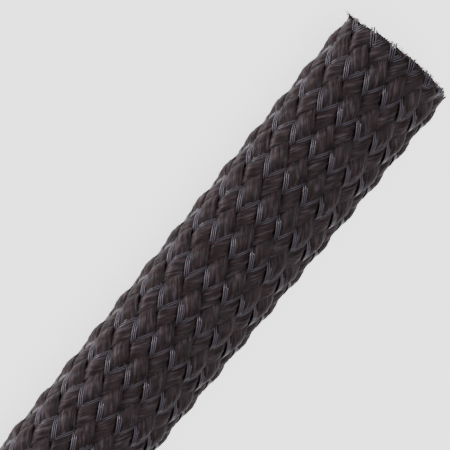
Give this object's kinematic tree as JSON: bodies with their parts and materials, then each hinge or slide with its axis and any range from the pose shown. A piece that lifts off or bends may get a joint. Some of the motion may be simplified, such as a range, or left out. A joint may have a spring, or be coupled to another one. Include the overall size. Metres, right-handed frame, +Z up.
{
  "type": "braided cable sleeve",
  "caption": "Hollow oval textile sleeve of black diamond braid, open at both cut ends, that bundles and protects cables pushed through it.",
  "frame": {"origin": "middle of the underside, on the level that the lowest floats rest on", "axes": "+X along the sleeve towards the end that the picture shows, +Y across its width, +Z up from the floor"},
  "size_m": [0.3048, 0.0186, 0.012],
  "materials": {
    "braid": "matte fibre yarns with glossy monofilaments"
  },
  "bodies": {
    "root": {"braided_sleeve": "braid"}
  },
  "joints": []
}
